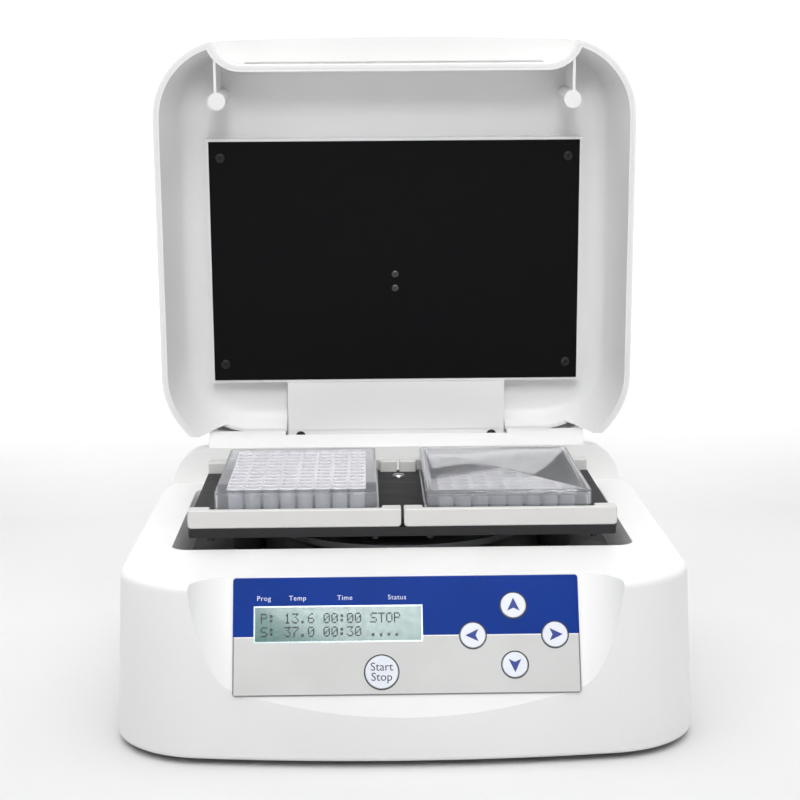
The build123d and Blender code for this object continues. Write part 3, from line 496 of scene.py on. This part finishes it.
def box_on(bm, low, high, matrix):
    """Box between two corners in the frame matrix."""
    corners = [
        bm.verts.new(matrix @ Vector((x, y, z)))
        for z in (low[2], high[2]) for y in (low[1], high[1]) for x in (low[0], high[0])
    ]
    for face in ((0, 2, 3, 1), (4, 5, 7, 6), (0, 1, 5, 4), (2, 6, 7, 3), (0, 4, 6, 2), (1, 3, 7, 5)):
        bm.faces.new([corners[i] for i in face])


def display_text(rows, corner, cell, pitch_up, matrix, name):
    """Rows of dot-matrix characters; corner is the top left, cell the size of one dot."""
    bm = bmesh.new()
    for row, text in enumerate(rows):
        for column, letter in enumerate(text):
            if letter not in DOTS:
                continue
            for line, dots in enumerate(DOTS[letter].split()):
                for place, dot in enumerate(dots):
                    if dot != "#":
                        continue
                    x = corner[0] + (column * 6 + place) * cell
                    y = corner[1] - row * pitch_up - line * cell * 1.12
                    box_on(bm, (x, y - cell * 1.0, 0), (x + cell * 0.92, y, 0.04 * MM), matrix)
    return finish_mesh(name, bm)


def legend(name, text, size, matrix, body, material, spacing=1.0):
    """Printed words as a thin raised layer of ink, centred on the frame matrix."""
    curve = bpy.data.curves.new(name, "FONT")
    curve.body = text
    curve.size = size
    curve.align_x, curve.align_y = "CENTER", "CENTER"
    curve.extrude = 0.015 * MM
    curve.space_character = spacing
    curve.space_line = 0.86
    curve.resolution_u = 3
    holder = bpy.data.objects.new(name + "_words", curve)
    bpy.context.scene.collection.objects.link(holder)
    bpy.context.view_layer.update()
    data = bpy.data.meshes.new_from_object(holder.evaluated_get(bpy.context.evaluated_depsgraph_get()))
    bpy.data.objects.remove(holder)
    data.transform(matrix)
    return add_piece(name, data, body, material)


def flat_ring(bm, inner, outer, thick, matrix, count=72):
    """Thin washer of ink."""
    start = len(bm.verts)
    rings = [ring(bm, inner, 0, count), ring(bm, outer, 0, count), ring(bm, outer, thick, count),
             ring(bm, inner, thick, count)]
    for low, high in zip(rings, rings[1:] + rings[:1]):
        skin(bm, low, high)
    bm.verts.ensure_lookup_table()
    bmesh.ops.transform(bm, matrix=matrix, verts=bm.verts[start:])


def arrowhead(bm, size, turn, thick, matrix):
    """Notched arrowhead pointing along turn degrees."""
    shape = ((0, 1.0), (-0.82, -0.72), (0, -0.34), (0.82, -0.72))
    spin = Matrix.Rotation(radians(turn), 4, "Z")
    rims = []
    for height in (0, thick):
        rims.append([bm.verts.new(matrix @ (spin @ Vector((x * size, y * size, height)))) for x, y in shape])
    skin(bm, rims[0], rims[1])
    bm.faces.new((rims[1][0], rims[1][1], rims[1][2]))
    bm.faces.new((rims[1][0], rims[1][2], rims[1][3]))
    bm.faces.new((rims[0][2], rims[0][1], rims[0][0]))
    bm.faces.new((rims[0][3], rims[0][2], rims[0][0]))


# ---- microplates --------------------------------------------------------------------------------
WELLS_X, WELLS_Y, PITCH = 8, 12, 9.0 * MM
WELL_TOP_R, WELL_FOOT_R, WELL_WALL = 3.43 * MM, 3.2 * MM, 0.55 * MM
WELL_DEEP = 10.9 * MM
WELL_SIDES = 24
DECK_T = 1.1 * MM
RIM_RISE = 0.35 * MM


def rounded_outline(bm, half_x, half_y, corner, height, centre, steps=6):
    """Closed loop of vertices: rectangle with round corners."""
    verts = []
    for quarter, (sx, sy) in enumerate(((1, 1), (-1, 1), (-1, -1), (1, -1))):
        for step in range(steps + 1):
            angle = (quarter + step / steps) * pi / 2
            x = centre[0] + sx * (half_x - corner) + corner * cos(angle)
            y = centre[1] + sy * (half_y - corner) + corner * sin(angle)
            verts.append(bm.verts.new((x, y, height)))
    return verts


def cell_reach(angle):
    """Distance from a cell's middle to its square edge."""
    return PITCH / 2 / max(abs(cos(angle)), abs(sin(angle)))


def well_sheet(bm, centre, height, rings_of):
    """Grid of square cells, each with a hole; rings_of lists (radius, height) down the hole."""
    for column in range(WELLS_X):
        for row in range(WELLS_Y):
            middle = (
                centre[0] + (column - (WELLS_X - 1) / 2) * PITCH,
                centre[1] + (row - (WELLS_Y - 1) / 2) * PITCH,
            )
            rings = [ring(bm, cell_reach, height, WELL_SIDES, middle)]
            rings += [ring(bm, radius, z, WELL_SIDES, middle) for radius, z in rings_of]
            for low, high in zip(rings, rings[1:]):
                skin(bm, low, high)
            bm.faces.new(rings[-1])


def fill_between(bm, height, loops):
    """Flat sheet at height between the boundary edges there."""
    near = [
        edge for edge in bm.edges
        if edge.is_boundary and all(abs(vert.co.z - height) < 1e-7 for vert in edge.verts)
    ]
    bmesh.ops.triangle_fill(bm, edges=near + loops, use_beauty=True)


def loop_edges(bm, verts):
    """Edges joining a loop of vertices."""
    return [bm.edges.new((verts[i], verts[(i + 1) % len(verts)])) for i in range(len(verts))]


def microplate(name, node, material, wells_material):
    """Clear 96-well plate: deck with rimmed wells hanging from it, hollow frame and stepped skirt."""
    low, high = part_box(node)
    centre = ((low.x + high.x) / 2, (low.y + high.y) / 2)
    half_x, half_y = (high.x - low.x) / 2, (high.y - low.y) / 2
    top, foot = high.z - RIM_RISE, low.z
    inset = 1.25 * MM
    wall = 1.1 * MM
    step_z = foot + 2.4 * MM
    bm = bmesh.new()
    deep = min(WELL_DEEP, top - foot - 1.6 * MM)
    well_sheet(bm, centre, top, [
        (WELL_TOP_R + 0.75 * MM, top),
        (WELL_TOP_R + 0.55 * MM, top + RIM_RISE),
        (WELL_TOP_R + 0.1 * MM, top + RIM_RISE),
        (WELL_TOP_R, top - 0.2 * MM),
        (WELL_FOOT_R, top - deep + 0.4 * MM),
        (WELL_FOOT_R - 0.4 * MM, top - deep),
    ])
    under = top - DECK_T
    bmesh.ops.remove_doubles(bm, verts=bm.verts, dist=1e-6)
    upper = rounded_outline(bm, half_x - inset, half_y - inset, 3.2 * MM, top, centre)
    fill_between(bm, top, loop_edges(bm, upper))
    sheet = bmesh.new()
    well_sheet(sheet, centre, under, [
        (WELL_TOP_R + WELL_WALL + 0.3 * MM, under),
        (WELL_TOP_R + WELL_WALL, under - 0.3 * MM),
        (WELL_FOOT_R + WELL_WALL, top - deep - 0.9 * MM),
        (WELL_FOOT_R, top - deep - 1.1 * MM),
    ])
    bmesh.ops.remove_doubles(sheet, verts=sheet.verts, dist=1e-6)
    lower = rounded_outline(sheet, half_x - inset - wall, half_y - inset - wall, 2.2 * MM, under, centre)
    fill_between(sheet, under, loop_edges(sheet, lower))
    spare = bpy.data.meshes.new(name + "_under")
    sheet.to_mesh(spare)
    sheet.free()
    bm.from_mesh(spare)
    bpy.data.meshes.remove(spare)
    walls = [
        rounded_outline(bm, half_x - inset, half_y - inset, 3.2 * MM, top, centre),
        rounded_outline(bm, half_x - inset, half_y - inset, 3.2 * MM, step_z + 0.3 * MM, centre),
        rounded_outline(bm, half_x - 0.3 * MM, half_y - 0.3 * MM, 3.4 * MM, step_z, centre),
        rounded_outline(bm, half_x, half_y, 3.6 * MM, step_z - 0.3 * MM, centre),
        rounded_outline(bm, half_x, half_y, 3.6 * MM, foot, centre),
        rounded_outline(bm, half_x - wall, half_y - wall, 2.6 * MM, foot, centre),
        rounded_outline(bm, half_x - wall, half_y - wall, 2.6 * MM, step_z - wall, centre),
        rounded_outline(bm, half_x - inset - wall, half_y - inset - wall, 2.2 * MM, step_z - wall + 0.3 * MM,
                        centre),
        rounded_outline(bm, half_x - inset - wall, half_y - inset - wall, 2.2 * MM, under, centre),
    ]
    for one, other in zip(walls, walls[1:]):
        skin(bm, one, other)
    bmesh.ops.remove_doubles(bm, verts=bm.verts, dist=1e-6)
    piece = add_piece(name, finish_mesh(name, bm), node, material, 30)
    # faces over the wells take the milky material, whose whiteness is painted reflection
    piece.data.materials.append(wells_material)
    block_x, block_y = WELLS_X * PITCH / 2 + 0.1 * MM, WELLS_Y * PITCH / 2 + 0.1 * MM
    for face in piece.data.polygons:
        middle = face.center
        if abs(middle.x - centre[0]) < block_x and abs(middle.y - centre[1]) < block_y:
            face.material_index = 1
    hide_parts(node)
    return piece


def plate_cover(name, node, material):
    """Clear lid over a microplate: thin top with a raised stacking bead and a short skirt."""
    low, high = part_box(node)
    centre = ((low.x + high.x) / 2, (low.y + high.y) / 2)
    half_x, half_y = (high.x - low.x) / 2, (high.y - low.y) / 2
    wall, bead = 0.8 * MM, 0.45 * MM
    top = high.z - bead
    bm = bmesh.new()

    def loop(inset, height, corner):
        return rounded_outline(bm, half_x - inset, half_y - inset, corner, height, centre)

    loops = [
        loop(3.4 * MM, top, 2.2 * MM),
        loop(2.6 * MM, high.z, 2.4 * MM),
        loop(1.9 * MM, high.z, 2.6 * MM),
        loop(1.2 * MM, top, 2.8 * MM),
        loop(0.5 * MM, top, 3.3 * MM),
        loop(0.1 * MM, top - 0.4 * MM, 3.6 * MM),
        loop(0, low.z, 3.6 * MM),
        loop(wall, low.z, 2.9 * MM),
        loop(wall, top - 1.2 * MM, 2.9 * MM),
        loop(3.4 * MM, top - 1.2 * MM, 2.2 * MM),
    ]
    for one, other in zip(loops, loops[1:]):
        skin(bm, one, other)
    bm.faces.new(loops[0])
    bm.faces.new(list(reversed(loops[-1])))
    piece = add_piece(name, finish_mesh(name, bm), node, material, 30)
    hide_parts(node)
    return piece


# ---- studio -------------------------------------------------------------------------------------
# name, place, aim, size in metres, power in watts
AREA_LIGHTS = (
    ("overhead", (0.0, -0.3, 1.5), (0, 0.0, 0.1), 2.2, 24.0),
    ("front_left", (-1.1, -1.3, 0.9), (0, 0, 0.12), 0.9, 1.0),
    ("front_right", (1.2, -1.2, 0.8), (0, 0, 0.12), 0.9, 0.2),
)
SPOT_AT, SPOT_AIM = (0.0, -0.95, 0.78), (0, 0.11, 0.17)
SPOT_POWER, SPOT_RADIUS, SPOT_ANGLE = 23.0, 0.22, radians(27)
SKY_STRENGTH = 0.45
SWEEP_FRONT, SWEEP_BEND, SWEEP_R, SWEEP_TOP, SWEEP_HALF = -4.0, 1.6, 1.2, 4.5, 6.0


def add_studio():
    """Pale sweep of paper, a soft overhead bank, two side fills and a spot on the open lid."""
    bm = bmesh.new()
    bend = [radians(9 * i) for i in range(1, 11)]
    sweep = [(SWEEP_FRONT, 0.0), (SWEEP_BEND, 0.0)]
    sweep += [(SWEEP_BEND + SWEEP_R * sin(a), SWEEP_R - SWEEP_R * cos(a)) for a in bend]
    sweep += [(SWEEP_BEND + SWEEP_R, SWEEP_TOP)]
    rows = [[bm.verts.new((x, y, z)) for x in (-SWEEP_HALF, SWEEP_HALF)] for y, z in sweep]
    for low, high in zip(rows, rows[1:]):
        bm.faces.new((low[0], low[1], high[1], high[0]))
    data = finish_mesh("paper_sweep", bm)
    data.shade_smooth()
    paper = bpy.data.objects.new("paper_sweep", data)
    bpy.context.scene.collection.objects.link(paper)
    s = Shader("paper")
    s.colour(s.ramp(s.noise(3, 3), linear(222, 222, 222), linear(226, 226, 226)))
    s.roughness(s.spread(s.noise(20, 2), 0.8, 0.95))
    rise = s.math("MULTIPLY", s.along((0, 1, 0), (0, 0.4, 0)), 0.55)
    s.link(s.math("MINIMUM", s.math("MAXIMUM", rise, 0.0), 0.6), s.main.inputs["Emission Strength"])
    s.set(Emission_Color=linear(255, 255, 255))
    data.materials.append(s.material)
    world = bpy.data.worlds.new("studio")
    world.use_nodes = True
    sky = world.node_tree.nodes["Background"]
    sky.inputs["Color"].default_value = linear(250, 250, 252)
    sky.inputs["Strength"].default_value = SKY_STRENGTH
    bpy.context.scene.world = world
    for name, place, aim, size, power in AREA_LIGHTS:
        light = bpy.data.lights.new(name, "AREA")
        light.size = size
        light.energy = power
        lamp = bpy.data.objects.new(name, light)
        lamp.location = place
        lamp.rotation_euler = (Vector(aim) - Vector(place)).to_track_quat("-Z", "Y").to_euler()
        bpy.context.scene.collection.objects.link(lamp)
    beam = bpy.data.lights.new("lid_fill", "SPOT")
    beam.energy = SPOT_POWER
    beam.shadow_soft_size = SPOT_RADIUS
    beam.spot_size = SPOT_ANGLE
    beam.spot_blend = 0.6
    lamp = bpy.data.objects.new("lid_fill", beam)
    lamp.location = SPOT_AT
    lamp.rotation_euler = (Vector(SPOT_AIM) - lamp.location).to_track_quat("-Z", "Y").to_euler()
    bpy.context.scene.collection.objects.link(lamp)
    bpy.context.scene.view_settings.view_transform = "Standard"


# ---- everything on the frame --------------------------------------------------------------------
KEYS = ("up", "down", "left", "right", "start")
ARROW_TURN = {"up": 0, "left": 90, "down": 180, "right": -90}
ARROW_SHARE, WORDS_SHARE = 0.62, 0.72
ARROW_T, RING_T = 0.03 * MM, 0.02 * MM
RING_GAP, RING_REACH = 0.2 * MM, 0.75 * MM
LABELS = (("Prog", -0.88), ("Temp", -0.48), ("Time", 0.08), ("Status", 0.7))
LABEL_SIZE, LABEL_GAP = 3.3 * MM, 3.6 * MM
DOT, ROW_PITCH = 0.62 * MM, 6.4 * MM
TEXT_IN_X, TEXT_IN_UP = 3.4 * MM, 3.6 * MM
BAND_EDGE = -0.1 * MM
UP = Vector((0, 0, 1))

white = moulded("white_housing", WHITE, 0.36)
liner = moulded("liner_white", LINER, 0.42)
coated = moulded("white_coated_bar", linear(212, 211, 209), 0.34)
black_plate = anodised("black_anodised", linear(30, 30, 32), 0.5)
black_plate_lid = anodised("black_lid_plate", linear(7, 7, 9), 0.6, 0.12)
black_moulded = moulded("black_moulded", linear(28, 28, 30), 0.45)
dark_plate = moulded("dark_chassis", linear(34, 34, 36), 0.55)
steel = machined("turned_steel", linear(190, 192, 194))
zinc = machined("bright_screw", linear(205, 206, 208), 0.2)
black_screw = anodised("black_screw", linear(20, 20, 22), 0.35)
dark_screw = machined("dark_steel_screw", linear(96, 96, 98), 0.3)
brass = machined("turned_brass", linear(198, 168, 104))
sheet = machined("zinc_sheet", linear(168, 170, 172), 0.4, (1.0, 8.0, 1.0))
motor = moulded("motor_paint", linear(62, 64, 68), 0.4)
feet = rubber("black_rubber", linear(20, 20, 20))
board = laminate("circuit_laminate")
film_heater = moulded("amber_heater_film", linear(206, 128, 44), 0.25)
pale_plastic = moulded("bearing_plastic", linear(222, 220, 212), 0.4)
clear_frame = clear("clear_polystyrene", linear(244, 246, 250), 0.86, 1.35, 0.03)
# milky white wells: painted reflection, low transmission turns the light that the many clear well walls
# reflect into diffuse colour
wells_painted_reflection = clear("wells_painted_reflection", linear(250, 249, 254), 0.3, 1.4, 0.06)
clear_lid = clear("clear_lid", linear(250, 251, 253), 0.93, 1.16, 0.04)
ink = moulded("dark_ink", INK, 0.5)
navy = moulded("navy_ink", NAVY, 0.4)
pale_ink = moulded("pale_ink", linear(222, 230, 246), 0.5)
cap_white = moulded("key_cap", linear(222, 226, 234), 0.32)

FINISHES = {
    "upper_housing": white, "lid_shell": white, "lid_liner": liner, "lid_carrier": liner,
    "hinge_arm": liner, "front_bar_left": coated, "front_bar_right": coated, "rear_bar_left": coated,
    "rear_bar_right": coated, "platform_plate": black_plate, "heater_plate": black_plate,
    "lid_heated_plate": black_plate_lid, "chassis_plate": dark_plate, "carrier_disc": sheet,
    "base_pan": sheet, "rear_plate": sheet, "power_supply": sheet, "chassis_standoffs": steel,
    "motor_body": motor, "eccentric_shaft": steel, "counterweight": brass, "idler_bearings": steel,
    "platform_bearing": steel, "idler_cups": black_moulded, "hinge_bushes": pale_plastic,
    "hinge_pins": steel, "rubber_feet": feet, "control_board": board, "tact_switches": black_moulded,
    "display_module": black_moulded, "mains_inlet": black_moulded, "fuse_drawer": black_moulded,
    "switch_frame": black_moulded, "power_rocker": black_moulded, "heater_film": film_heater,
}
FINISHES.update({f"idler_crank_{i}": steel for i in range(1, 5)})
FINISHES.update({f"{key}_key": cap_white for key in KEYS})
FINISHES.update({name: zinc for name in frame["nodes"] if name.endswith("_screws") or name == "plate_screw"})
FINISHES.update({"bar_screws": black_screw, "carrier_screws": black_screw})

DISPLAY_LOW, DISPLAY_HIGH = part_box("display_window")
DISPLAY_AT = (DISPLAY_LOW + DISPLAY_HIGH) / 2 + PANEL_OUT * FILM / 2
DISPLAY_HALF = (
    (DISPLAY_HIGH.x - DISPLAY_LOW.x) / 2,
    ((DISPLAY_HIGH.z - DISPLAY_LOW.z) - FILM * PANEL_OUT.z) / 2 / PANEL_UP.z,
)
FINISHES["control_overlay"] = printed_film("printed_film", BAND_EDGE)
FINISHES["display_window"] = display_face("display_face", DISPLAY_AT, DISPLAY_HALF)


def dress(name, material):
    """Gives a CAD node its finished material."""
    node = frame["nodes"][name]
    node.data.materials.clear()
    node.data.materials.append(material)


for name, material in FINISHES.items():
    dress(name, material)


def key_frame(key):
    """Frame on a key's outer face and the face's radius, from the key's own solid."""
    points = [v.co for v in frame["nodes"][f"{key}_key"].data.vertices]
    front = max(point.dot(PANEL_OUT) for point in points)
    cap = [point for point in points if point.dot(PANEL_OUT) > front - 0.5 * MM]
    low = Vector([min(p[i] for p in cap) for i in range(3)])
    high = Vector([max(p[i] for p in cap) for i in range(3)])
    middle = (low + high) / 2
    radius = (high.x - low.x) / 2
    return panel_matrix(middle + PANEL_OUT * (front - middle.dot(PANEL_OUT))), radius


for key, turn in ARROW_TURN.items():
    spot, radius = key_frame(key)
    bm = bmesh.new()
    arrowhead(bm, radius * ARROW_SHARE, turn, ARROW_T, spot)
    add_piece(f"{key}_key_arrow", finish_mesh(f"{key}_key_arrow", bm), f"{key}_key", navy)
spot, radius = key_frame("start")
legend("start_key_words", "Start\nStop", radius * WORDS_SHARE, spot, "start_key", ink)

bm = bmesh.new()
for key in KEYS:
    spot, radius = key_frame(key)
    flat = spot.copy()
    flat.translation = spot.translation - PANEL_OUT * (spot.translation - PANEL_AT).dot(PANEL_OUT)
    flat_ring(bm, radius + RING_GAP, radius + RING_REACH, RING_T, flat)
add_piece("key_rings", finish_mesh("key_rings", bm), "base", ink)

LABEL_UP = DISPLAY_HALF[1] + LABEL_GAP
for word, share in LABELS:
    place = DISPLAY_AT + PANEL_X * (share * DISPLAY_HALF[0]) + PANEL_UP * LABEL_UP
    legend(f"label_{word}", word, LABEL_SIZE, panel_matrix(place), "base", pale_ink, 1.1)

rows = display_text(
    ("P: 13.6 00:00 STOP", "S: 37.0 00:30 ...."),
    (-DISPLAY_HALF[0] + TEXT_IN_X, DISPLAY_HALF[1] - TEXT_IN_UP), DOT, ROW_PITCH,
    panel_matrix(DISPLAY_AT), "display_characters",
)
add_piece("display_characters", rows, "base", ink)

LID_TURN = radians(-JOINTS["lid_hinge"]["range_deg"][0])
LID_UP = Vector((0, sin(LID_TURN), cos(LID_TURN)))
screw_set("lid_plate_screw_heads", "lid_plate_screws", "lid", black_screw, -LID_UP,
          2.9 * MM, 0.9 * MM, cross_recess(1.7 * MM, 0.45 * MM), 0.8 * MM, 0.5)
screw_set("lid_sensor_screw_heads", "lid_sensor_screws", "lid", dark_screw, -LID_UP,
          2.2 * MM, 1.0 * MM, cross_recess(1.3 * MM, 0.4 * MM), 0.7 * MM, 0.5)
screw_set("hinge_arm_screw_heads", "hinge_arm_screws", "lid", black_screw, -LID_UP,
          2.8 * MM, 1.5 * MM, hex_recess(1.5 * MM), 1.2 * MM)
screw_set("plate_screw_head", "plate_screw", "platform", zinc, UP,
          3.6 * MM, 2.2 * MM, hex_recess(1.25 * MM), 1.3 * MM, 0.7)

for side in ("left", "right"):
    microplate(f"clear_plate_{side}", f"microplate_{side}", clear_frame, wells_painted_reflection)
plate_cover("clear_cover", "microplate_cover", clear_lid)

add_camera()
add_studio()
